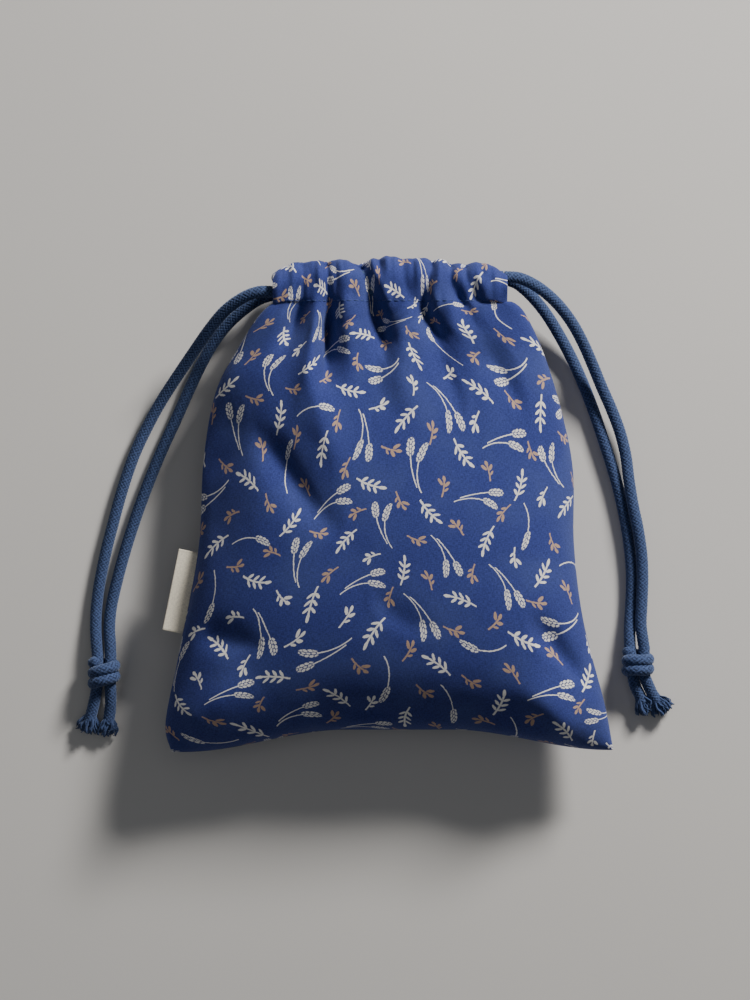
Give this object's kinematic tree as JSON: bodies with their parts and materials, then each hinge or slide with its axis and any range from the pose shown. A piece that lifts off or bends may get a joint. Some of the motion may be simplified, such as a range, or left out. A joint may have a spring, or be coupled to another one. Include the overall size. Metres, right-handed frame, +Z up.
{
  "type": "kinchaku drawstring pouch",
  "caption": "Flat cotton pouch with gathered casings at the mouth, drawn shut by a braided drawstring at each side.",
  "frame": {"origin": "on the surface that the pouch lies on, under the middle of its box without the drawstrings", "axes": "+Z up through the thickness, +Y from the bottom seam towards the mouth, +X across"},
  "size_m": [0.3022, 0.247, 0.0635],
  "materials": {
    "printed_cotton": "plain weave, printed, matte",
    "braided_cord": "braided cotton, matte",
    "sewing_thread": "spun thread, slight sheen",
    "woven_tape": "woven tape, matte"
  },
  "bodies": {
    "pouch": {"front_panel": "printed_cotton", "back_panel": "printed_cotton", "front_casing_thread": "sewing_thread", "back_casing_thread": "sewing_thread", "seam_thread": "sewing_thread", "side_label": "woven_tape"},
    "left_cord": {"left_drawstring": "braided_cord", "left_knot": "braided_cord"},
    "right_cord": {"right_drawstring": "braided_cord", "right_knot": "braided_cord"}
  },
  "joints": [
    {"name": "left_drawstring_slide", "type": "slide", "parent": "pouch", "child": "left_cord", "axis": [-1, 0, 0], "range_m": [0, 0.008]},
    {"name": "right_drawstring_slide", "type": "slide", "parent": "pouch", "child": "right_cord", "axis": [1, 0, 0], "range_m": [0, 0.008]}
  ]
}
